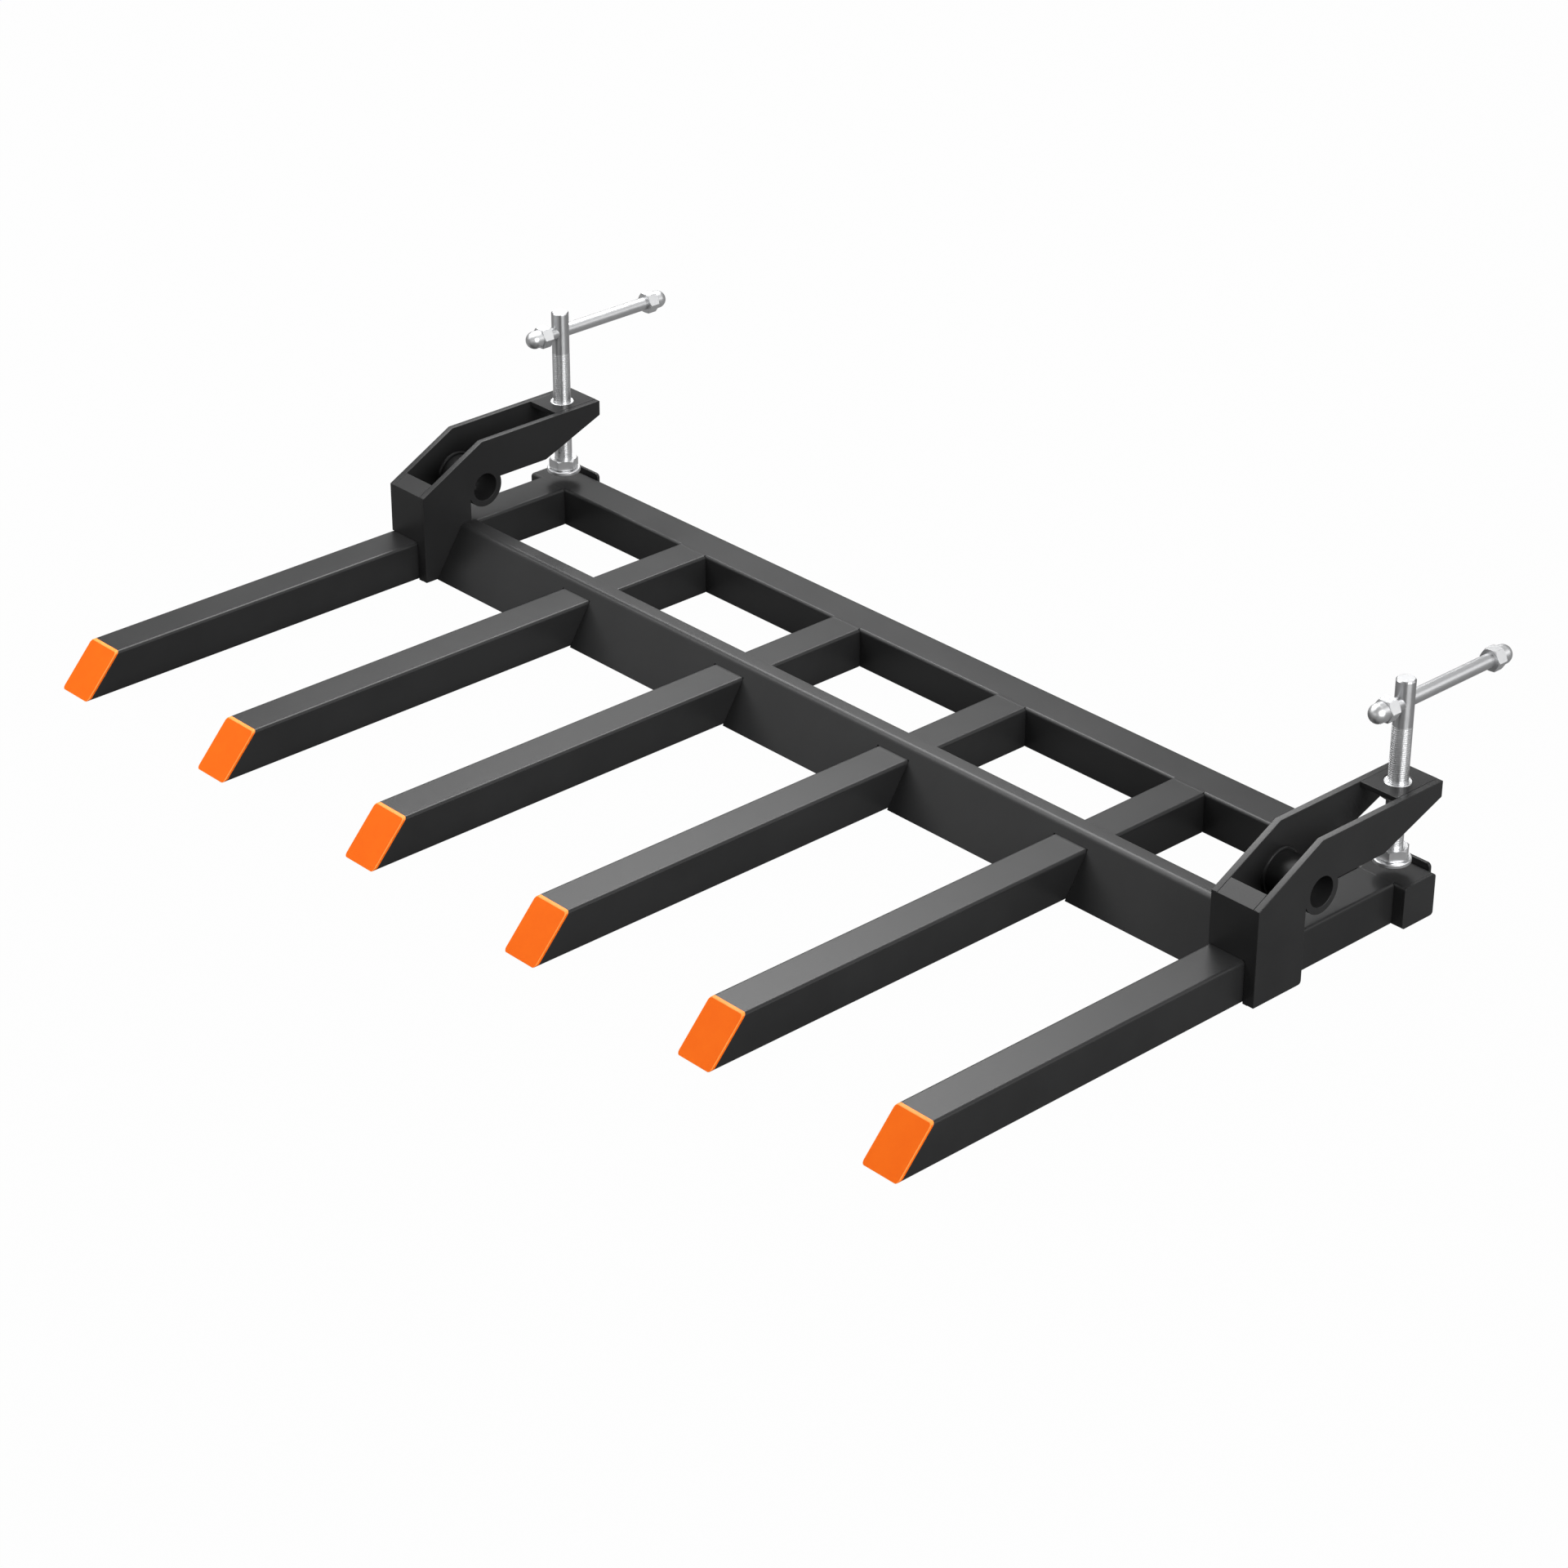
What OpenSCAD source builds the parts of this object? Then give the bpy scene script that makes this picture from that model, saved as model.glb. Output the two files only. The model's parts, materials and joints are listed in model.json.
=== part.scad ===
// Clamp-on debris fork for a loader bucket: a ladder of square tubes with six tines,
// held to the bucket's lip by two screw clamps.
// X runs along the rails, the tines point to -Y and Z is up. The origin is the middle of
// the rear rail's top face, which the bucket's lip lies on.

/* [Square tubes] */
// Side of the square tubes
tube = 50; // [44:1:56]
// Wall of the square tubes
tube_wall = 5; // [3:0.5:7]
// Outer corner radius of the square tubes
tube_corner = 4; // [2:0.5:6]

/* [Rear rail] */
// Length of the rear rail over its end caps
rail_length = 1430; // [1300:10:1700]
// Thickness of the plates that close the rear rail
rail_cap = 3; // [2:0.5:6]
// How far the rear rail runs past the end tines
rail_overhang = 15; // [8:1:30]

/* [Tines] */
// Spacing of the four middle tines
tine_pitch = 272; // [220:1:290]
// Length of a tine's top edge in front of the rear rail
tine_length = 677; // [500:1:900]
// Angle of the cut at the tips, from the horizontal
tip_angle = 47.5; // [40:0.5:70]
// Thickness of the plates that close the tips
tip_plate = 3; // [2:0.5:6]

/* [Front rail] */
// Clear depth of the ladder's openings, from rail to rail
opening_depth = 155.5; // [130:0.5:160]
// Thickness of the bent plate
bent_plate = 12.7; // [10:0.1:14]
// Width of the flat flange on the tines, to the outside corner of the bend
flange_width = 20.4; // [16:0.1:30]
// Slope of the plate's front leg, from the horizontal
front_slope = 56.5; // [50:0.5:70]
// Outer radius of the bend
bend_radius = 10; // [4:0.5:12]

/* [Clamp plates] */
// Width of a clamp over its two side plates
clamp_width = 65; // [62:1:75]
// Thickness of the side plates
side_plate = 8; // [6:0.5:10]
// How far the arm's rear end stays in front of the rear rail's rear face
arm_setback = 1.5; // [0:0.5:10]
// Depth of the throat, from the arm's rear end to the leg
throat_depth = 209; // [200:1:230]
// Height of the throat under the arm
throat_height = 57.5; // [52:0.5:65]
// Length of the leg that stands on the tine
leg_length = 73.5; // [60:0.5:100]
// Height of the clamp above the tines
clamp_height = 111; // [105:1:125]
// Height of the leg's front corner
brow_height = 63; // [50:1:80]
// Length of the slope that rises from the front corner
brow_run = 93.5; // [70:0.5:110]
// Height of the arm's rear end
nose_height = 19; // [18:0.5:30]
// Length of the slope under the arm's rear end
nose_run = 88.5; // [60:0.5:100]
// Radius at the heel of the long side plate
heel_radius = 4; // [2:0.5:8]

/* [Clamp fittings] */
// Thickness of the bar that closes the leg's front
front_bar = 20; // [10:1:30]
// Outer diameter of the cross tube
cross_outer = 50; // [44:1:54]
// Bore of the cross tube
cross_bore = 35; // [28:1:38]
// Distance of the cross tube's axis behind the leg
cross_offset = 23; // [20:0.5:30]
// Height of the cross tube's axis above the tines
cross_height = 50; // [45:0.5:55]
// Length of the top plate
top_length = 65; // [60:1:90]
// Thickness of the top plate
top_plate = 6; // [5:0.5:10]
// Width of the stop behind the rear rail
stop_width = 46; // [40:1:60]
// Thickness of the stop
stop_plate = 4; // [3:0.5:8]
// How far the stop stands up above the rear rail
stop_rise = 6.5; // [5:0.5:10]
// How far the stop reaches down behind the rear rail
stop_drop = 40; // [25:1:43]
// Radius of the stop's upper corners
stop_radius = 5; // [2:0.5:8]

/* [Screws] */
// Distance of the screw's axis from the arm's rear end
screw_inset = 34; // [24:0.5:36]
// Thread diameter of the screw
thread_size = 22; // [18:0.5:23]
// Length of the screw from its shoulder on the foot pad to its top
screw_length = 208.7; // [190:0.1:240]
// Diameter of the screw's smooth head
head_size = 23; // [21:0.5:26]
// Length of the screw's smooth head
head_length = 54; // [45:1:70]
// Chamfer on top of the head
head_chamfer = 1.5; // [0.5:0.5:3]
// Distance from the screw's top down to the handle's axis
handle_drop = 26.5; // [20:0.5:35]
// Outer diameter of the nut's collar in the top plate
collar_size = 30.5; // [28:0.5:34]
// Width across flats of the hexagon under the top plate
nut_flats = 34; // [32:1:38]
// Height of the hexagon under the top plate
nut_height = 11; // [8:0.5:16]

/* [Screw feet] */
// Height of the foot pad above the rear rail in the shown position
foot_lift = 16; // [6:0.5:30]
// Diameter of the foot pad
pad_size = 42; // [38:1:50]
// Thickness of the foot pad
pad_plate = 5; // [4:0.5:8]
// Depth of the recess in the pad's underside
pad_recess = 2.5; // [2:0.1:3]
// Diameter of the recess in the pad's underside
recess_size = 18; // [16:0.5:24]
// Diameter of the screw's neck in the pad
neck_size = 12; // [10:0.5:13]
// Diameter of the rim that keeps the pad on the neck
rim_size = 16; // [14:0.5:17]
// Thickness of that rim
rim_plate = 1.5; // [1:0.1:2]
// Width across flats of the foot nut
foot_flats = 32; // [30:1:36]
// Height of the foot nut
foot_height = 12.7; // [10:0.1:16]

/* [Handles] */
// Diameter of the handle bar
bar_size = 16; // [12:0.5:17]
// Length of the handle over its two domed nuts
handle_length = 222; // [180:1:260]
// Bare bar between the front domed nut and the screw's head
handle_play = 9; // [0.5:0.5:40]
// Width across flats of the domed nuts
dome_flats = 24; // [22:1:28]
// Length of a domed nut
dome_length = 32; // [28:0.5:36]
// Length of the domed nut's hexagon
dome_hexagon = 14; // [10:0.5:18]
// Diameter of the dome where it leaves the hexagon
dome_size = 22; // [20:0.5:22]
// How deep the bar's ends go into the domed nuts
bar_engagement = 21; // [14:0.5:22]

/* [Fits] */
// Gap around the cross tube in the side plates, and around the collar
weld_gap = 0.1; // [0.05:0.01:0.3]
// Radial clearance of the screws, the handles and the pads, which move
running_gap = 0.06; // [0.02:0.01:0.1]
// Radial clearance of the nuts that stay tight
tight_gap = 0.03; // [0.01:0.01:0.05]
// Play between the foot pad and the screw along the axis
pad_play = 0.3; // [0.1:0.1:0.5]

/* [Hidden] */

round_faces = 64;
cut = 200;

// The rails
rail_rear = tube / 2;
rail_front = -tube / 2;
end_tine = rail_length / 2 - rail_overhang - tube / 2;
tine_xs = [-end_tine, -1.5 * tine_pitch, -tine_pitch / 2, tine_pitch / 2, 1.5 * tine_pitch, end_tine];
tip_front = rail_front - tine_length;
tip_reach = tube / tan(tip_angle);
front_rail_edge = rail_front - opening_depth;

// The clamps, whose -X faces are flush with the end tines' -X faces
sides = ["left", "right"];
function clamp_x(side) = (side == "left" ? -end_tine : end_tine) - tube / 2;
clamp_inside = clamp_width - 2 * side_plate;
arm_end = rail_rear - arm_setback;
leg_rear = arm_end - throat_depth;
leg_front = leg_rear - leg_length;
cross_y = leg_rear + cross_offset;
brow_slope = (clamp_height - brow_height) / brow_run;

// The screws, at the height that the photograph shows
screw_y = arm_end - screw_inset;
pad_top = foot_lift + pad_plate;
shoulder = pad_top + pad_play;
screw_top = shoulder + screw_length;
handle_z = screw_top - handle_drop;
handle_front = screw_y - head_size / 2 - handle_play - dome_length;
handle_rear = handle_front + handle_length;

black = "#333333";
orange = "#f96a1c";
chrome = "silver";

// Draws its 2D children in the YZ plane and extrudes them along +X
module along_x(length) {
    rotate([90, 0, 90])
        linear_extrude(length) children();
}

// The outline of a square tube, from its lower left corner
module tube_outline() {
    far = tube - tube_corner;
    translate([tube_corner, 0]) square([tube - 2 * tube_corner, tube]);
    translate([0, tube_corner]) square([tube, tube - 2 * tube_corner]);
    for (x = [tube_corner, far])
        for (y = [tube_corner, far])
            translate([x, y]) circle(r = tube_corner, $fn = round_faces);
}

module tube_section() {
    difference() {
        tube_outline();
        translate([tube_wall, tube_wall]) square(tube - 2 * tube_wall);
    }
}

module rear_rail() {
    color(black)
        translate([rail_cap - rail_length / 2, rail_front, -tube])
            along_x(rail_length - 2 * rail_cap) tube_section();
}

module rear_rail_cap(side) {
    x = side == "left" ? -rail_length / 2 : rail_length / 2 - rail_cap;
    color(black)
        translate([x, rail_front, -tube])
            along_x(rail_cap) tube_outline();
}

// Everything in front of the slanted cut that lies the given depth behind the tip's face
module beyond_tip(depth) {
    translate([0, tip_front, 0])
        rotate([tip_angle - 90, 0, 0])
            translate([-tube, depth - cut, -cut]) cube([2 * tube, cut, 2 * cut]);
}

// Lays a section that starts at the rear rail down along one tine
module along_tine() {
    translate([-tube / 2, rail_front, -tube])
        rotate([90, 0, 0]) linear_extrude(tine_length + tip_reach) children();
}

module tine_tube(number) {
    color(black)
        translate([tine_xs[number - 1], 0, 0])
            difference() {
                along_tine() tube_section();
                beyond_tip(tip_plate);
            }
}

module tine_tip(number) {
    color(orange)
        translate([tine_xs[number - 1], 0, 0])
            difference() {
                intersection() {
                    along_tine() tube_outline();
                    beyond_tip(tip_plate);
                }
                beyond_tip(0);
            }
}

// The bent plate's section: a flange on the tines and a leg that slopes down in front
module bent_section() {
    corner = front_rail_edge - flange_width;
    tangent = bend_radius * tan(front_slope / 2);
    bend_y = corner + tangent;
    bend_z = bent_plate - bend_radius;
    bend_end = [bend_y - bend_radius * sin(front_slope), bend_z + bend_radius * cos(front_slope)];
    foot = corner - (bent_plate + tube) / tan(front_slope);
    inner = bent_plate / sin(front_slope);
    heel = corner - bent_plate / tan(front_slope) + inner;
    polygon([
        [front_rail_edge, bent_plate], [bend_y, bent_plate], bend_end,
        [foot, -tube], [foot + inner, -tube], [heel, 0], [front_rail_edge, 0]
    ]);
    intersection() {
        translate([bend_y, bend_z]) circle(r = bend_radius, $fn = round_faces);
        polygon([[bend_y, bend_z], [bend_y, bent_plate], [corner, bent_plate], bend_end]);
    }
}

module front_rail() {
    start = clamp_x("left") + clamp_width;
    color(black)
        difference() {
            translate([start, 0, 0]) along_x(clamp_x("right") - start) bent_section();
            for (i = [1:4])
                translate([tine_xs[i] - tube / 2, -2 * cut, -cut]) cube([tube, 2 * cut, cut]);
        }
}

// One side plate of a clamp, standing on the given height
module side_outline(bottom) {
    difference() {
        union() {
            polygon([
                [leg_front, bottom], [leg_rear - heel_radius, bottom],
                [leg_rear - heel_radius, bottom + heel_radius], [leg_rear, bottom + heel_radius],
                [leg_rear, throat_height], [arm_end - nose_run, throat_height],
                [arm_end, clamp_height - nose_height], [arm_end, clamp_height],
                [leg_front + brow_run, clamp_height], [leg_front, brow_height]
            ]);
            translate([leg_rear - heel_radius, bottom + heel_radius])
                circle(r = heel_radius, $fn = round_faces);
        }
        translate([cross_y, cross_height])
            circle(r = cross_outer / 2 + weld_gap, $fn = round_faces);
    }
}

// The plate that reaches down beside the tine
module long_plate(side) {
    color(black)
        translate([clamp_x(side) + clamp_width - side_plate, 0, 0])
            along_x(side_plate) side_outline(-tube);
}

// The plate that stands on the tine
module short_plate(side) {
    color(black)
        translate([clamp_x(side), 0, 0])
            along_x(side_plate) side_outline(0);
}

// The bar that closes the leg's front, and its strip beside the tine
module front_bar(side) {
    color(black)
        translate([clamp_x(side), 0, 0])
            difference() {
                translate([side_plate, 0, 0])
                    along_x(clamp_inside)
                        polygon([
                            [leg_front, -tube], [leg_front + front_bar, -tube],
                            [leg_front + front_bar, brow_height + front_bar * brow_slope],
                            [leg_front, brow_height]
                        ]);
                translate([0, leg_front - 1, -cut]) cube([tube, front_bar + 2, cut]);
            }
}

module cross_tube(side) {
    color(black)
        translate([clamp_x(side), 0, 0])
            along_x(clamp_width)
                translate([cross_y, cross_height])
                    difference() {
                        circle(d = cross_outer, $fn = round_faces);
                        circle(d = cross_bore, $fn = round_faces);
                    }
}

// Moves what stands on the screw's axis to the clamp of one side
module at_screw(side) {
    translate([clamp_x(side) + clamp_width / 2, screw_y, 0]) children();
}

module top_plate(side) {
    color(black)
        difference() {
            translate([clamp_x(side) + side_plate, arm_end - top_length, clamp_height - top_plate])
                cube([clamp_inside, top_length, top_plate]);
            at_screw(side)
                cylinder(r = collar_size / 2 + weld_gap, h = cut, $fn = round_faces);
        }
}

// A hexagon with its corners chamfered at both ends, or at its upper end alone
module hexagon(flats, height, both_ends = true) {
    corner = flats / sqrt(3);
    chamfer = (corner - flats / 2) * tan(30);
    intersection() {
        cylinder(r = corner, h = height, $fn = 6);
        rotate_extrude($fn = round_faces)
            polygon([
                [0, 0], [both_ends ? flats / 2 : corner, 0], [corner, both_ends ? chamfer : 0],
                [corner, height - chamfer], [flats / 2, height], [0, height]
            ]);
    }
}

// The nut in the top plate: a round collar flush with the plate and a hexagon under it
module screw_nut(side) {
    edge = 1;
    seat = clamp_height - top_plate;
    color(chrome)
        at_screw(side)
            difference() {
                union() {
                    translate([0, 0, seat - nut_height])
                        hexagon(nut_flats, nut_height);
                    translate([0, 0, seat - edge])
                        cylinder(d = collar_size, h = top_plate, $fn = round_faces);
                    translate([0, 0, clamp_height - edge])
                        cylinder(d1 = collar_size, d2 = collar_size - 2 * edge, h = edge, $fn = round_faces);
                }
                cylinder(r = thread_size / 2 + running_gap, h = cut, $fn = round_faces);
            }
}

// The stop that stands up behind the rear rail
module rear_stop(side) {
    straight = stop_width - 2 * stop_radius;
    color(black)
        translate([clamp_x(side) + (clamp_width - stop_width) / 2, rail_rear + stop_plate, 0])
            rotate([90, 0, 0])
                linear_extrude(stop_plate) {
                    translate([0, -stop_drop]) square([stop_width, stop_drop + stop_rise - stop_radius]);
                    translate([stop_radius, 0]) square([straight, stop_rise]);
                    for (x = [stop_radius, stop_width - stop_radius])
                        translate([x, stop_rise - stop_radius]) circle(r = stop_radius, $fn = round_faces);
                }
}

module foot_pad(side) {
    edge = 0.8;
    color(chrome)
        at_screw(side)
            translate([0, 0, foot_lift])
                rotate_extrude($fn = round_faces)
                    polygon([
                        [neck_size / 2 + running_gap, pad_recess], [recess_size / 2, pad_recess],
                        [recess_size / 2, 0], [pad_size / 2 - edge, 0], [pad_size / 2, edge],
                        [pad_size / 2, pad_plate - edge], [pad_size / 2 - edge, pad_plate],
                        [neck_size / 2 + running_gap, pad_plate]
                    ]);
}

// The screw turned from one bar: head, thread, neck and the rim that keeps the foot pad
module clamp_screw(side) {
    rim_top = foot_lift + pad_recess - pad_play;
    rim_foot = rim_top - rim_plate;
    color(chrome)
        at_screw(side)
            difference() {
                rotate_extrude($fn = round_faces)
                    polygon([
                        [0, rim_foot], [rim_size / 2, rim_foot], [rim_size / 2, rim_top],
                        [neck_size / 2, rim_top], [neck_size / 2, shoulder],
                        [thread_size / 2, shoulder], [thread_size / 2, screw_top - head_length],
                        [head_size / 2, screw_top - head_length],
                        [head_size / 2, screw_top - head_chamfer],
                        [head_size / 2 - head_chamfer, screw_top], [0, screw_top]
                    ]);
                translate([0, head_size, handle_z])
                    rotate([90, 0, 0])
                        cylinder(r = bar_size / 2 + running_gap, h = 2 * head_size, $fn = round_faces);
            }
}

module foot_nut(side) {
    color(chrome)
        at_screw(side)
            translate([0, 0, shoulder])
                difference() {
                    hexagon(foot_flats, foot_height);
                    translate([0, 0, -1])
                        cylinder(r = thread_size / 2 + tight_gap, h = foot_height + 2, $fn = round_faces);
                }
}

// Lays what stands up along Z along the handle, with its foot at y
module along_handle(side, y, forward) {
    translate([clamp_x(side) + clamp_width / 2, y, handle_z])
        rotate([forward ? 90 : -90, 0, 0]) children();
}

module handle_bar(side) {
    edge = 1;
    blind = dome_length - bar_engagement;
    length = handle_length - 2 * blind;
    color(chrome)
        along_handle(side, handle_rear - blind, true)
            rotate_extrude($fn = round_faces)
                polygon([
                    [0, 0], [bar_size / 2 - edge, 0], [bar_size / 2, edge],
                    [bar_size / 2, length - edge], [bar_size / 2 - edge, length], [0, length]
                ]);
}

// A domed nut that stands on its open end: a hexagon, then a short neck under a round dome
module dome_nut() {
    radius = dome_size / 2;
    drill = tan(31);
    bore = bar_size / 2 + tight_gap;
    difference() {
        union() {
            hexagon(dome_flats, dome_hexagon);
            cylinder(r = radius, h = dome_length - radius, $fn = round_faces);
            translate([0, 0, dome_length - radius]) sphere(r = radius, $fn = round_faces);
        }
        translate([0, 0, -1])
            cylinder(r = bore, h = bar_engagement + 1, $fn = round_faces);
        translate([0, 0, bar_engagement])
            cylinder(r1 = bore, r2 = 0, h = bore * drill, $fn = round_faces);
    }
}

module front_dome_nut(side) {
    color(chrome)
        along_handle(side, handle_front + dome_length, true) dome_nut();
}

module rear_dome_nut(side) {
    color(chrome)
        along_handle(side, handle_rear - dome_length, false) dome_nut();
}

rear_rail();
front_rail();
for (number = [1:6]) {
    tine_tube(number);
    tine_tip(number);
}
for (side = sides) {
    rear_rail_cap(side);
    long_plate(side);
    short_plate(side);
    front_bar(side);
    cross_tube(side);
    top_plate(side);
    screw_nut(side);
    rear_stop(side);
    foot_pad(side);
    clamp_screw(side);
    foot_nut(side);
    handle_bar(side);
    front_dome_nut(side);
    rear_dome_nut(side);
}
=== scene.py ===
"""Clamp-on debris fork: finishes, eased edges, threads, welds, studio and camera."""

import json
from math import radians

import bpy
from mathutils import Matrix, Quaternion, Vector

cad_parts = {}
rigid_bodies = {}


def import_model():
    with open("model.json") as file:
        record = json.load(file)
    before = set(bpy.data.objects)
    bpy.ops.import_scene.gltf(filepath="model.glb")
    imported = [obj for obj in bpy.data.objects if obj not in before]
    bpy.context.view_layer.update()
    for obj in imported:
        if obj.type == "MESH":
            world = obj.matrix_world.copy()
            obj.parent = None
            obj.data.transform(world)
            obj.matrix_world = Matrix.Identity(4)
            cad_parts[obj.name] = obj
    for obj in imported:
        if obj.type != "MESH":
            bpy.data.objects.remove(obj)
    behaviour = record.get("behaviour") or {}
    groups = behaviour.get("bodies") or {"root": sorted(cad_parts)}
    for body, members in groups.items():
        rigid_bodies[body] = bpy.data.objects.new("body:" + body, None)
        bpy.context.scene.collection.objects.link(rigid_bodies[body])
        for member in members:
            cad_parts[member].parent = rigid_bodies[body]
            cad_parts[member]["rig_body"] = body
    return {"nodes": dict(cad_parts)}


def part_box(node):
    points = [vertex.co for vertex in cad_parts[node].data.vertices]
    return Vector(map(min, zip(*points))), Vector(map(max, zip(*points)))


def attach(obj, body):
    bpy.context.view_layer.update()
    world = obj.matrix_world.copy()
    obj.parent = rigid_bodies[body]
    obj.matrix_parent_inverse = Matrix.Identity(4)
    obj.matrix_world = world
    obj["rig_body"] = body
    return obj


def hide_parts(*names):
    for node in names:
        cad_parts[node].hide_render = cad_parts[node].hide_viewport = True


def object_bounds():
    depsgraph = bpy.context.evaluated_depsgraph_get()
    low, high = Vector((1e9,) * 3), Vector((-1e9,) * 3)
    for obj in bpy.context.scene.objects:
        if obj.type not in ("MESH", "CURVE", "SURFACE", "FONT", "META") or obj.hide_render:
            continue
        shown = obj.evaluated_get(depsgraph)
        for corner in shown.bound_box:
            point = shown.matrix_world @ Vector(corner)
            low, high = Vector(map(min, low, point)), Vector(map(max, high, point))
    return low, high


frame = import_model()
cad_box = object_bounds()
nodes = frame["nodes"]

SIDES = ("left", "right")
TINES = range(1, 7)

# Slots

BLACK = "black_powder_coat"
ORANGE = "orange_tip_paint"
BRIGHT = "bright_plated_steel"

# Colours. Shades are a deeper and a paler one

COAT_SHADES = (0.0145, 0.0146, 0.0149, 1), (0.0185, 0.0186, 0.0189, 1)
COAT_SPECK = (0.025, 0.025, 0.026, 1)
ORANGE_SHADES = (0.87, 0.133, 0.0015, 1), (0.89, 0.144, 0.0022, 1)
# A lighter orange for the tips' chamfered rims: a painted highlight along the edge
RIM_HIGHLIGHT_ORANGE_SHADES = (0.97, 0.27, 0.045, 1), (0.98, 0.31, 0.07, 1)
# One plating at three brightnesses, set part by part to how lit each part looks: painted shade on the
# head and handle, painted light on the thread, between for the nuts
PLATING_PAINTED_SHADED = (0.52, 0.525, 0.535, 1), (0.6, 0.605, 0.61, 1)
PLATING_PAINTED_HALF_LIT = (0.62, 0.625, 0.635, 1), (0.7, 0.705, 0.71, 1)
PLATING_PAINTED_LIT = (0.74, 0.745, 0.755, 1), (0.84, 0.845, 0.85, 1)
PAPER_SHADES = (0.12, 0.12, 0.12, 1), (0.13, 0.13, 0.13, 1)
WHITE = (1, 1, 1, 1)

# Tool marks, drawn out along the axes with the small numbers

MARKS_ROUND_AXIS = (0.2, 0.2, 1)
MARKS_ALONG_BAR = (1, 0.04, 1)
MARKS_EVEN = (1, 1, 1)

# Sizes and places, in metres

THREAD_PITCH = 0.0025
THREAD_RADIUS = 0.011
THREAD_CORE = 0.0104
THREAD_SEAT = 0.0004
THREAD_LOW = 0.026
THREAD_HIGH = 0.1765
THREAD_HALF_ROOT = 0.00115
THREAD_HALF_CREST = 0.0008
TIP_RIM = 0.0009
NUT_EDGE = 0.0003
FLOOR_GAP = 0.0002
SAME_POINT = 0.000002

# Distances that tell where a clamp's edges lie, in metres

NEAR = 0.001
TOUCHING = 0.0005
OFF_MIDDLE = 0.02

# The way the tips' faces look

TIP_FACING = Vector((0, -0.737, 0.676)).normalized()


# Finishes


class Value:
    """A value inside a finish. Sums written on it add Math nodes."""

    def __init__(self, finish, socket):
        self.finish = finish
        self.socket = socket

    def work_out(self, operation, other):
        return self.finish.add("Math", {0: self, 1: other}, {"operation": operation})

    def __add__(self, other):
        return self.work_out("ADD", other)

    __radd__ = __add__

    def __mul__(self, other):
        return self.work_out("MULTIPLY", other)

    __rmul__ = __mul__

    def between(self, low, high):
        """0 below low, 1 above high and a smooth rise from one to the other."""
        values = {"Value": self, "From Min": low, "From Max": high}
        return self.finish.add("MapRange", values, {"interpolation_type": "SMOOTHSTEP"})


class Finish:
    """The look of a material or of the world, put together node by node."""

    def __init__(self, owner):
        owner.use_nodes = True
        self.owner = owner
        self.tree = owner.node_tree
        self.tree.nodes.clear()

    def add(self, kind, values=None, settings=None, output=0):
        """Adds a node, fills in its inputs and settings, and gives one of its outputs."""
        node = self.tree.nodes.new("ShaderNode" + kind)
        for name, setting in (settings or {}).items():
            setattr(node, name, setting)
        for name, value in (values or {}).items():
            if isinstance(value, Value):
                self.tree.links.new(value.socket, node.inputs[name])
            else:
                node.inputs[name].default_value = value
        return Value(self, node.outputs[output])

    def place(self):
        return self.add("TexCoord", output="Object")

    def ray(self, kind):
        """1 for a ray of this kind and 0 for any other."""
        return self.add("LightPath", output=f"Is {kind} Ray")

    def noise(self, scale, detail, roughness=0.5, place=None):
        values = {"Vector": place or self.place(), "Scale": scale, "Detail": detail}
        values["Roughness"] = roughness
        return self.add("TexNoise", values)

    def mix(self, share, first, second):
        """A mix of two colours. Its sockets have numbers, because several share a name."""
        return self.add("Mix", {0: share, 6: first, 7: second}, {"data_type": "RGBA"}, output=2)

    def bump(self, height, distance, strength):
        return self.add("Bump", {"Height": height, "Distance": distance, "Strength": strength})

    def finished(self, shader, kind="OutputMaterial"):
        """Puts the shader on the surface and gives the finished material or world."""
        output = self.tree.nodes.new("ShaderNode" + kind)
        self.tree.links.new(shader.socket, output.inputs["Surface"])
        return self.owner


def powder_coat(name):
    """Black powder coat: satin, with the fine orange peel of a baked coat."""
    coat = Finish(bpy.data.materials.new(name))
    cloud = coat.noise(scale=7, detail=4, roughness=0.6)
    peel = coat.noise(scale=420, detail=2, roughness=0.55)
    grain = coat.noise(scale=1900, detail=1)
    specks = grain.between(0.62, 0.8) * peel.between(0.4, 0.7)
    colour = coat.mix(cloud.between(0.3, 0.7), *COAT_SHADES)
    shader = {
        "Base Color": coat.mix(specks * 0.5, colour, COAT_SPECK),
        "Roughness": 0.29 + 0.06 * cloud + 0.05 * grain,
        "Specular IOR Level": 0.25,
        "Normal": coat.bump(peel + 0.35 * grain, distance=0.00007, strength=0.5),
    }
    return coat.finished(coat.add("BsdfPrincipled", shader))


def tip_paint(name, shades):
    """Orange paint on the tip plates."""
    paint = Finish(bpy.data.materials.new(name))
    cloud = paint.noise(scale=38, detail=3, roughness=0.6)
    peel = paint.noise(scale=600, detail=2)
    shader = {
        "Base Color": paint.mix(cloud.between(0.3, 0.7), *shades),
        "Roughness": 0.42 + 0.1 * peel,
        "Specular IOR Level": 0.12,
        "Normal": paint.bump(peel, distance=0.0001, strength=0.5),
    }
    return paint.finished(paint.add("BsdfPrincipled", shader))


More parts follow.
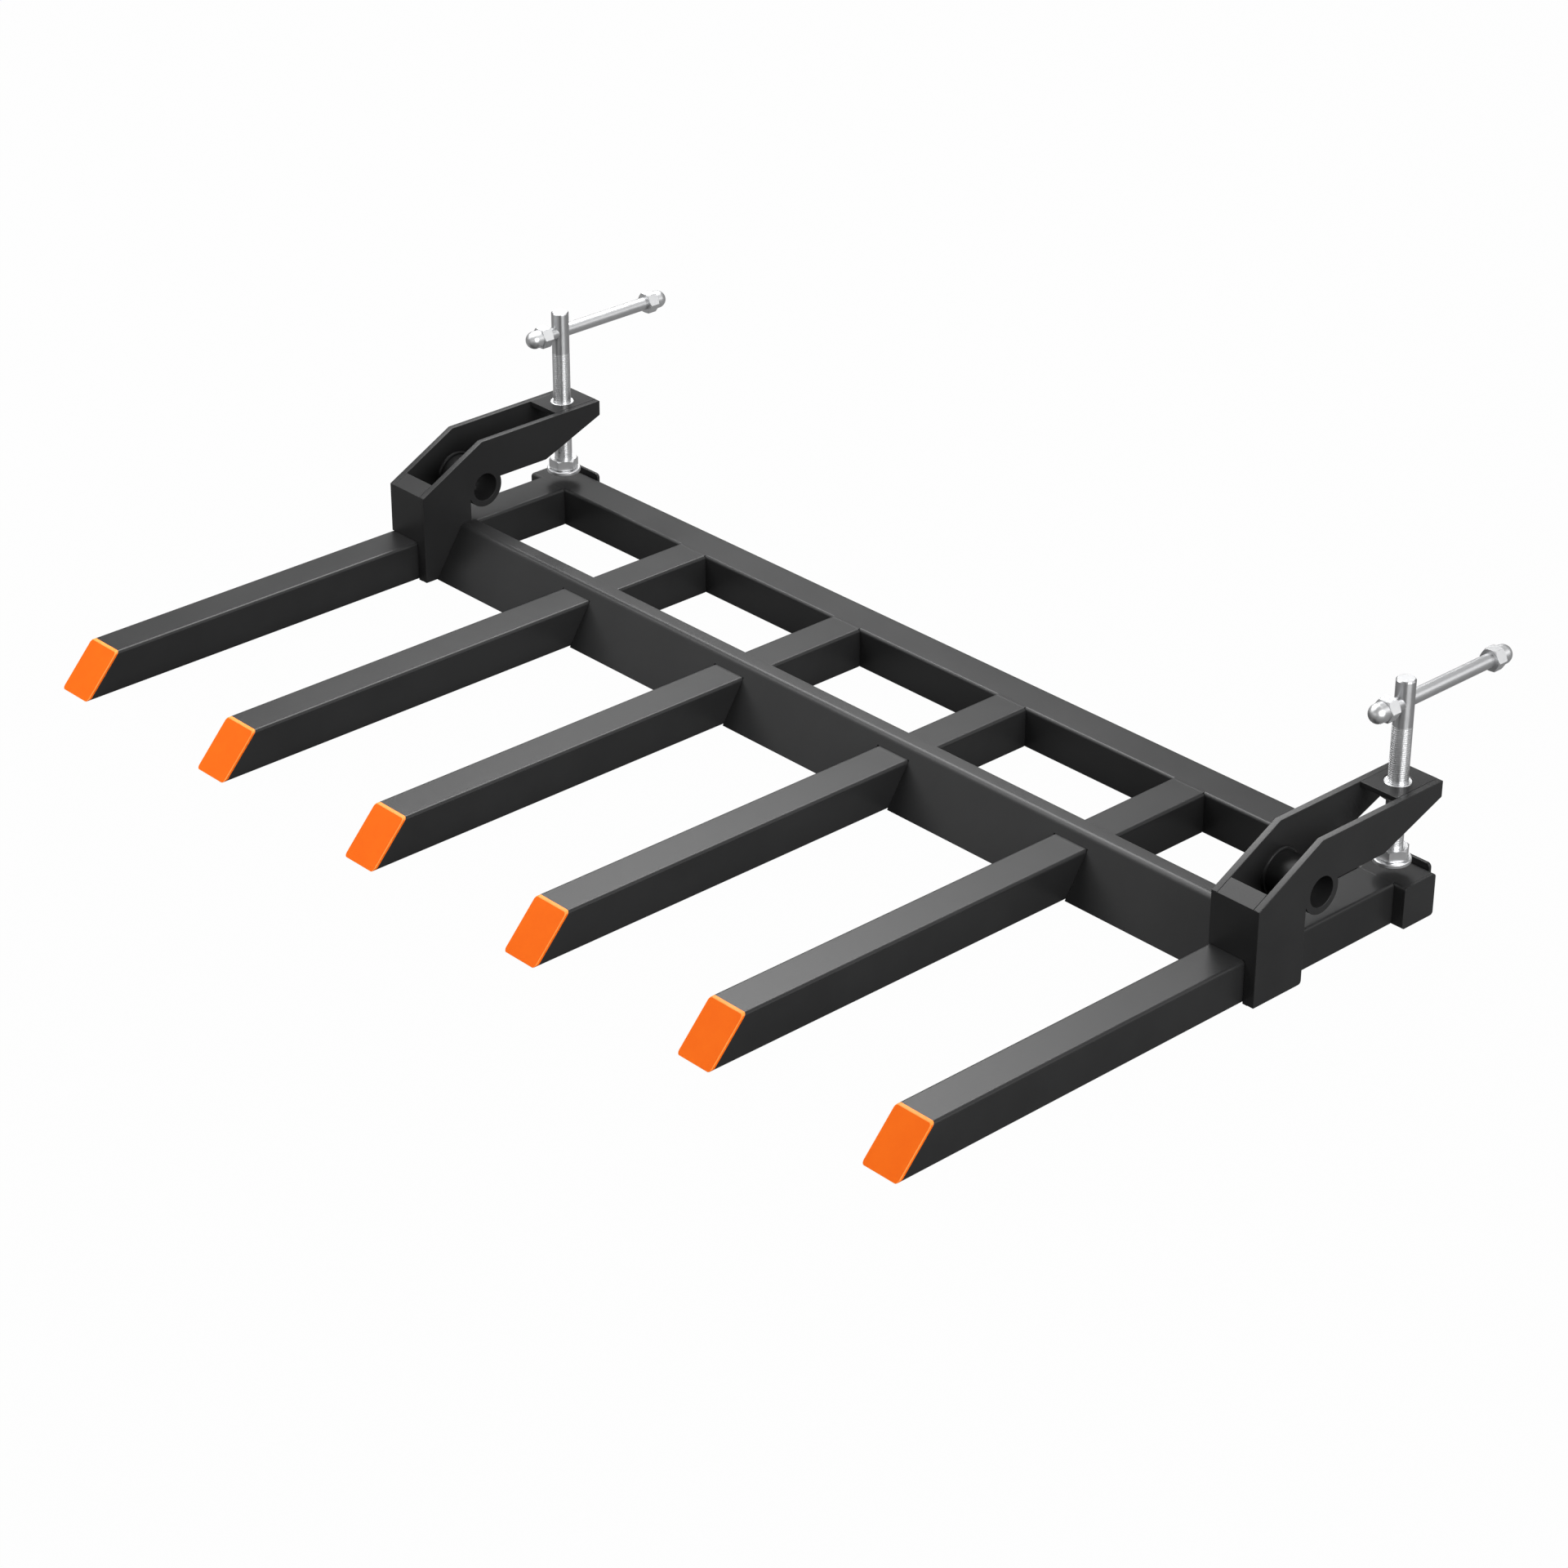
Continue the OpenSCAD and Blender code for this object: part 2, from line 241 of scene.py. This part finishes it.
def plated_steel(name, shades, marks_stretch, turned=False):
    """Bright plating over steel with its tool marks. Turned steel is smoother and smears lights."""
    steel = Finish(bpy.data.materials.new(name))
    stretched = steel.add("Mapping", {"Vector": steel.place(), "Scale": marks_stretch})
    marks = steel.noise(scale=900, detail=3, roughness=0.6, place=stretched)
    cloud = steel.noise(scale=60, detail=3)
    smoothest = 0.25 if turned else 0.32
    shader = {
        "Base Color": steel.mix(cloud, *shades),
        "Metallic": 1.0,
        "Roughness": smoothest + 0.1 * marks + 0.05 * cloud,
        "Normal": steel.bump(marks, distance=0.00003, strength=0.35),
    }
    if turned:
        shader["Anisotropic"] = 0.9
        shader["Anisotropic Rotation"] = 0.25
    return steel.finished(steel.add("BsdfPrincipled", shader))


black_coat = powder_coat("black_powder_coat")
orange_paint = tip_paint("orange_tip_paint", ORANGE_SHADES)
# The tips' rim finish: a painted highlight in a lighter orange
orange_rim_highlight = tip_paint("orange_rim_painted_highlight", RIM_HIGHLIGHT_ORANGE_SHADES)
# The head and handle get the painted-shade plating, the thread the painted-light one, and the nuts
# the one between
head_steel = plated_steel("plated_steel_head", PLATING_PAINTED_SHADED, MARKS_ROUND_AXIS, turned=True)
thread_steel = plated_steel("plated_steel_thread", PLATING_PAINTED_LIT, MARKS_ROUND_AXIS, turned=True)
handle_steel = plated_steel("plated_steel_handle", PLATING_PAINTED_SHADED, MARKS_ALONG_BAR)
nut_steel = plated_steel("plated_steel_nut", PLATING_PAINTED_HALF_LIT, MARKS_EVEN)


# Making pieces


def middle_of(box):
    return (box[0] + box[1]) / 2


def radius_of(box):
    """The radius of a round piece that lies along X."""
    return (box[1].z - box[0].z) / 2


def take(*pieces):
    """Selects these pieces and nothing else. The first one becomes the active one."""
    bpy.ops.object.select_all(action="DESELECT")
    for piece in pieces:
        piece.select_set(True)
    bpy.context.view_layer.objects.active = pieces[0]


def join(first, second):
    """Adds the second piece to the first one."""
    take(first, second)
    bpy.ops.object.join()


def nothing(part):
    return False


def pick(piece, kind, wanted):
    """Opens a piece for editing, with only the edges or faces selected that are wanted."""
    take(piece)
    bpy.ops.object.mode_set(mode="EDIT")
    bpy.ops.mesh.select_mode(type=kind)
    bpy.ops.mesh.select_all(action="DESELECT")
    bpy.ops.object.mode_set(mode="OBJECT")
    parts = piece.data.edges if kind == "EDGE" else piece.data.polygons
    for part in parts:
        part.select = wanted(part)
    bpy.ops.object.mode_set(mode="EDIT")


def copy_of(node, name):
    """A new piece from a node's mesh, with its triangles merged into plain faces."""
    piece = bpy.data.objects.new(name, nodes[node].data.copy())
    bpy.context.scene.collection.objects.link(piece)
    take(piece)
    bpy.ops.object.mode_set(mode="EDIT")
    bpy.ops.mesh.select_all(action="SELECT")
    bpy.ops.mesh.remove_doubles(threshold=SAME_POINT)
    bpy.ops.mesh.dissolve_limited(angle_limit=radians(0.4))
    bpy.ops.object.mode_set(mode="OBJECT")
    return piece


def block(low, high):
    """A new box-shaped piece between two corners."""
    bpy.ops.mesh.primitive_cube_add(size=1, location=(low + high) / 2)
    piece = bpy.context.object
    piece.scale = high - low
    bpy.ops.object.transform_apply()
    return piece


def round_edges(piece, width, stay_sharp):
    """Bevels a piece's sharp edges, apart from those whose middle stay_sharp picks out."""
    pick(piece, "EDGE", nothing)
    bpy.ops.mesh.edges_select_sharp(sharpness=radians(28))
    bpy.ops.object.mode_set(mode="OBJECT")
    points = piece.data.vertices
    rounded = set()
    for edge in piece.data.edges:
        middle = (points[edge.vertices[0]].co + points[edge.vertices[1]].co) / 2
        if edge.select and not stay_sharp(middle):
            rounded.add(edge.index)
    pick(piece, "EDGE", lambda edge: edge.index in rounded)
    bpy.ops.mesh.bevel(offset=width, segments=2, affect="EDGES", clamp_overlap=True)
    bpy.ops.object.mode_set(mode="OBJECT")


def ease(piece, width, stay_sharp=nothing):
    """Rounds a piece's sharp edges, where a width is given, and smooths its shading."""
    take(piece)
    if piece.data.has_custom_normals:
        bpy.ops.mesh.customdata_custom_splitnormals_clear()
    if width:
        round_edges(piece, width, stay_sharp)
    bpy.ops.object.shade_smooth_by_angle(angle=radians(46))
    weighted = piece.modifiers.new("flat_faces_stay_flat", "WEIGHTED_NORMAL")
    weighted.keep_sharp = True
    bpy.ops.object.modifier_apply(modifier=weighted.name)


def finish_with(piece, slot, *materials):
    piece.data.materials.clear()
    for material in materials:
        piece.data.materials.append(material)


def stand_for(piece, node):
    """The piece takes a node's place and rides on its body."""
    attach(piece, nodes[node]["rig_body"])
    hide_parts(node)


def eased_node(node, width, slot, material, stay_sharp=nothing):
    """A node's own shape with its sharp edges rounded, in place of the node."""
    piece = copy_of(node, node + "_eased")
    ease(piece, width, stay_sharp)
    finish_with(piece, slot, material)
    stand_for(piece, node)


def tip_plate(number):
    """A tip plate with a chamfered rim, painted a lighter orange as a painted highlight."""
    node = f"tine_tip_{number}"
    piece = copy_of(node, node + "_painted")
    alike = 0.99
    pick(piece, "FACE", lambda face: face.normal.dot(TIP_FACING) > alike)
    bpy.ops.mesh.region_to_loop()
    bpy.ops.mesh.bevel(offset=TIP_RIM, segments=2, affect="EDGES", clamp_overlap=False)
    bpy.ops.object.mode_set(mode="OBJECT")
    finish_with(piece, ORANGE, orange_paint, orange_rim_highlight)
    # The chamfer faces take the lighter orange, a painted highlight
    for face in piece.data.polygons:
        face.material_index = 1 if 0.3 < face.normal.dot(TIP_FACING) < alike else 0
    ease(piece, width=0)
    stand_for(piece, node)


# Screws


def screw_thread(axis):
    """The rolled thread: a ridge with a wide flat crest that winds up round the screw's core."""
    seat = THREAD_CORE - THREAD_SEAT
    corners = (
        (seat, -THREAD_HALF_ROOT),
        (THREAD_RADIUS, -THREAD_HALF_CREST),
        (THREAD_RADIUS, THREAD_HALF_CREST),
        (seat, THREAD_HALF_ROOT),
    )
    bpy.ops.mesh.primitive_plane_add(size=1, location=(0, 0, 0))
    ridge = bpy.context.object
    order_round_plane = (0, 1, 3, 2)
    for number, (radius, height) in zip(order_round_plane, corners):
        ridge.data.vertices[number].co = (radius, 0, height)
    winding = ridge.modifiers.new("winding", "SCREW")
    winding.axis = "Z"
    winding.screw_offset = THREAD_PITCH
    winding.iterations = int((THREAD_HIGH - THREAD_LOW) / THREAD_PITCH)
    winding.steps = winding.render_steps = 32
    winding.use_merge_vertices = True
    take(ridge)
    bpy.ops.object.modifier_apply(modifier=winding.name)
    bpy.ops.object.shade_smooth_by_angle(angle=radians(30))
    ridge.location = (axis.x, axis.y, THREAD_LOW)
    bpy.ops.object.transform_apply()
    return ridge


def clamp_screw(side):
    """The screw: the node's shape, narrowed as a whole to the thread's core, and the thread on it."""
    node = f"clamp_screw_{side}"
    axis = middle_of(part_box(node))
    piece = copy_of(node, node + "_threaded")
    narrow = THREAD_CORE / THREAD_RADIUS
    bpy.ops.object.mode_set(mode="EDIT")
    bpy.ops.mesh.select_all(action="SELECT")
    bpy.ops.transform.resize(value=(narrow, narrow, 1), center_override=(axis.x, axis.y, 0))
    bpy.ops.object.mode_set(mode="OBJECT")
    ease(piece, width=0.0004)
    join(piece, screw_thread(axis))
    finish_with(piece, BRIGHT, head_steel, thread_steel, nut_steel)
    thread_end = THREAD_HIGH + 0.0001
    # The thread gets the painted-light plating. The head's top face gets the nuts' paler, plainer
    # plating, which is painted light on the top
    for face in piece.data.polygons:
        if face.center.z < thread_end:
            face.material_index = 1
        elif face.normal.z > 0.99:
            face.material_index = 2
    stand_for(piece, node)


# Welds


def finish_weld(weld, name):
    weld.name = name
    finish_with(weld, BLACK, black_coat)
    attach(weld, "frame")


def rail_weld(number):
    """The welds that fill the rear rail's rounded corners at one tube, above and below."""
    tube_middle = middle_of(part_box(f"tine_tube_{number}"))
    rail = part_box("rear_rail")
    half_width = 0.0223
    thickness = 0.003
    proud = 0.0001
    sunk = 0.00002
    front = rail[0].y - 0.0009
    back = rail[0].y + 0.0047
    welds = []
    for top in (rail[1].z + proud, rail[0].z + sunk + thickness):
        low = Vector((tube_middle.x - half_width, front, top - thickness))
        high = Vector((tube_middle.x + half_width, back, top))
        weld = block(low, high)
        ease(weld, width=0.0006)
        welds.append(weld)
    join(*welds)
    finish_weld(welds[0], f"rail_weld_{number}")


def bore_weld(side):
    """The seam between a cross tube's ends and the plates' outer faces, ground flush."""
    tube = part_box(f"cross_tube_{side}")
    sunk = 0.00002
    let_out = 0.0003
    bpy.ops.mesh.primitive_cylinder_add(
        vertices=96,
        radius=radius_of(tube) + let_out,
        depth=tube[1].x - tube[0].x - 2 * sunk,
        end_fill_type="NGON",
        location=middle_of(tube),
        rotation=(0, radians(90), 0),
    )
    seam = bpy.context.object
    bpy.ops.object.transform_apply()
    pick(seam, "FACE", lambda face: abs(face.normal.x) > 0.9)
    bpy.ops.mesh.inset(thickness=0.0005)
    bpy.ops.mesh.bridge_edge_loops()
    bpy.ops.object.mode_set(mode="OBJECT")
    ease(seam, width=0)
    finish_weld(seam, f"bore_weld_{side}")


def inner_weld(side):
    """The weld bead round the cross tube, on the inner face of the plate that stands on the tine."""
    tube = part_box(f"cross_tube_{side}")
    middle = middle_of(tube)
    inner_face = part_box(f"short_plate_{side}")[1].x
    let_out = 0.0008
    bpy.ops.mesh.primitive_torus_add(
        major_segments=72,
        minor_segments=12,
        major_radius=radius_of(tube) + let_out,
        minor_radius=0.0032,
        location=(inner_face, middle.y, middle.z),
        rotation=(0, radians(90), 0),
    )
    bead = bpy.context.object
    bpy.ops.object.transform_apply()
    bpy.ops.object.mode_set(mode="EDIT")
    bpy.ops.mesh.select_all(action="SELECT")
    cut = (inner_face - NEAR, 0, 0)
    bpy.ops.mesh.bisect(plane_co=cut, plane_no=(1, 0, 0), use_fill=False, clear_inner=True)
    bpy.ops.object.mode_set(mode="OBJECT")
    ease(bead, width=0)
    finish_weld(bead, f"inner_weld_{side}")


def slot_weld(side):
    """The weld that closes the slot between an end tine and the long plate beside it."""
    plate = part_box(f"long_plate_{side}")
    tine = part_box("tine_tube_1" if side == "left" else "tine_tube_6")
    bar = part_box(f"front_bar_{side}")
    into_tine = 0.0022
    into_plate = 0.0002
    reach_back = 0.0725
    thickness = 0.006
    top = tine[1].z - 0.0028
    low = Vector((tine[1].x - into_tine, bar[1].y - TOUCHING, top - thickness))
    high = Vector((plate[0].x + into_plate, plate[0].y + reach_back, top))
    weld = block(low, high)
    ease(weld, width=0.0015)
    finish_weld(weld, f"slot_weld_{side}")


# The whole fork


def make_frame():
    eased_node("rear_rail", 0.0002, BLACK, black_coat)
    eased_node("front_rail", 0.0004, BLACK, black_coat)
    for number in TINES:
        eased_node(f"tine_tube_{number}", 0.0004, BLACK, black_coat)
        tip_plate(number)
        rail_weld(number)


def make_clamp(side):
    """One clamp. Plates that are welded flush with each other keep sharp edges where they meet."""
    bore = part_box(f"cross_tube_{side}")
    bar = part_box(f"front_bar_{side}")
    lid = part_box(f"top_plate_{side}")

    def from_bore(middle):
        away = middle - middle_of(bore)
        return Vector((away.y, away.z)).length

    def flush_plate(middle):
        inner = bar[0].x - NEAR < middle.x < bar[1].x + NEAR
        beside_bar = middle.y < bar[0].y + TOUCHING
        beside_lid = middle.y > lid[0].y and middle.z > lid[0].z - NEAR
        beside_end = middle.y > lid[1].y - TOUCHING
        at_bore = from_bore(middle) < radius_of(bore) + NEAR
        return at_bore or inner and (beside_bar or beside_lid or beside_end)

    def flush_bar(middle):
        at_side = abs(middle.x - middle_of(bar).x) > OFF_MIDDLE
        return at_side and middle.y < bar[0].y + TOUCHING

    def flush_lid(middle):
        return abs(middle.x - middle_of(lid).x) > OFF_MIDDLE

    def flush_tube(middle):
        return from_bore(middle) > radius_of(bore) * 0.9

    black_pieces = (
        ("rear_rail_cap", 0.0003, nothing),
        ("long_plate", 0.0007, flush_plate),
        ("short_plate", 0.0007, flush_plate),
        ("front_bar", 0.0005, flush_bar),
        ("cross_tube", 0.0006, flush_tube),
        ("top_plate", 0.0005, flush_lid),
        ("rear_stop", 0.0007, nothing),
    )
    for name, width, stay_sharp in black_pieces:
        eased_node(f"{name}_{side}", width, BLACK, black_coat, stay_sharp)
    for name in ("screw_nut", "foot_pad", "foot_nut"):
        eased_node(f"{name}_{side}", NUT_EDGE, BRIGHT, nut_steel)
    eased_node(f"handle_bar_{side}", NUT_EDGE, BRIGHT, handle_steel)
    for name in ("front_dome_nut", "rear_dome_nut"):
        eased_node(f"{name}_{side}", NUT_EDGE, BRIGHT, nut_steel)
    clamp_screw(side)
    bore_weld(side)
    slot_weld(side)
    inner_weld(side)


# Studio


def floor():
    """A pale floor. Seen directly it is nearly all plain white, with a trace of the fork's shadow."""
    bpy.ops.mesh.primitive_plane_add(size=60, location=(0, 0, cad_box[0].z - FLOOR_GAP))
    sheet = bpy.context.object
    sheet.name = "floor"
    paper = Finish(bpy.data.materials.new("white_floor"))
    fibre = paper.noise(scale=3, detail=3)
    lit = paper.add("BsdfDiffuse", {"Color": paper.mix(fibre, *PAPER_SHADES)})
    white = paper.add("Emission", {"Color": WHITE, "Strength": 1.0})
    share = 0.985 * paper.ray("Camera") + 0.12 * (paper.ray("Glossy") + paper.ray("Transmission"))
    material = paper.finished(paper.add("MixShader", {0: share, 1: lit, 2: white}))
    sheet.data.materials.append(material)


def sky():
    """Soft light from all round. Seen directly it is white."""
    world = bpy.data.worlds.new("white_room")
    bpy.context.scene.world = world
    room = Finish(world)
    mirrored = room.ray("Glossy") + room.ray("Transmission")
    strength = 0.28 + 0.72 * room.ray("Camera") + 0.02 * mirrored
    room.finished(room.add("Background", {"Color": WHITE, "Strength": strength}), "OutputWorld")


def softbox(name, place, size, power, target):
    lamp = bpy.data.lights.new(name, "AREA")
    lamp.shape = "RECTANGLE"
    lamp.size, lamp.size_y = size
    lamp.energy = power
    box = bpy.data.objects.new(name, lamp)
    bpy.context.scene.collection.objects.link(box)
    box.location = place
    aim = Vector(target) - Vector(place)
    box.rotation_euler = aim.to_track_quat("-Z", "Y").to_euler()


def lamps():
    """Lamps that hang overhead and shine straight down, and lamps that aim at the fork."""
    hanging = (
        ("overhead", (-2.05, 1.5, 2.5), (2.3, 1.6), 106),
        ("overhead_front", (-1.15, -0.05, 2.5), (1.5, 2.1), 54),
        ("upper_left", (-2.2, -1.0, 2.5), (2.6, 0.9), 38),
        ("rear_overhead", (0.8, 1.5, 2.6), (1.6, 1.2), 8),
    )
    aimed = (
        ("front_left", (-2.2, -2.35, 2.3), (2.0, 2.6), 22),
        ("right", (4.4, -0.5, 2.1), (3.4, 2.8), 212),
        ("rear_right", (2.8, 2.2, 1.7), (2.4, 1.8), 16),
        ("front", (0.6, -3.3, 0.9), (2.4, 1.4), 9),
    )
    for name, place, size, power in hanging:
        softbox(name, place, size, power, target=(place[0], place[1], 0))
    for name, place, size, power in aimed:
        softbox(name, place, size, power, target=(0, -0.3, 0))


def camera():
    """The photograph's viewpoint."""
    lens = bpy.data.cameras.new("camera")
    lens.sensor_width = 36
    lens.lens = 95.316
    lens.clip_end = 100
    view = bpy.data.objects.new("camera", lens)
    bpy.context.scene.collection.objects.link(view)
    place = Vector((3.03634, -3.05214, 2.16217))
    target = Vector((0.107807, -0.347868, 0))
    roll = Quaternion((0, 0, 1), radians(0.1265))
    view.location = place
    view.rotation_euler = ((target - place).to_track_quat("-Z", "Y") @ roll).to_euler()
    bpy.context.scene.camera = view


camera()
make_frame()
for side in SIDES:
    make_clamp(side)
floor()
sky()
lamps()

scene = bpy.context.scene
scene.view_settings.view_transform = "Standard"
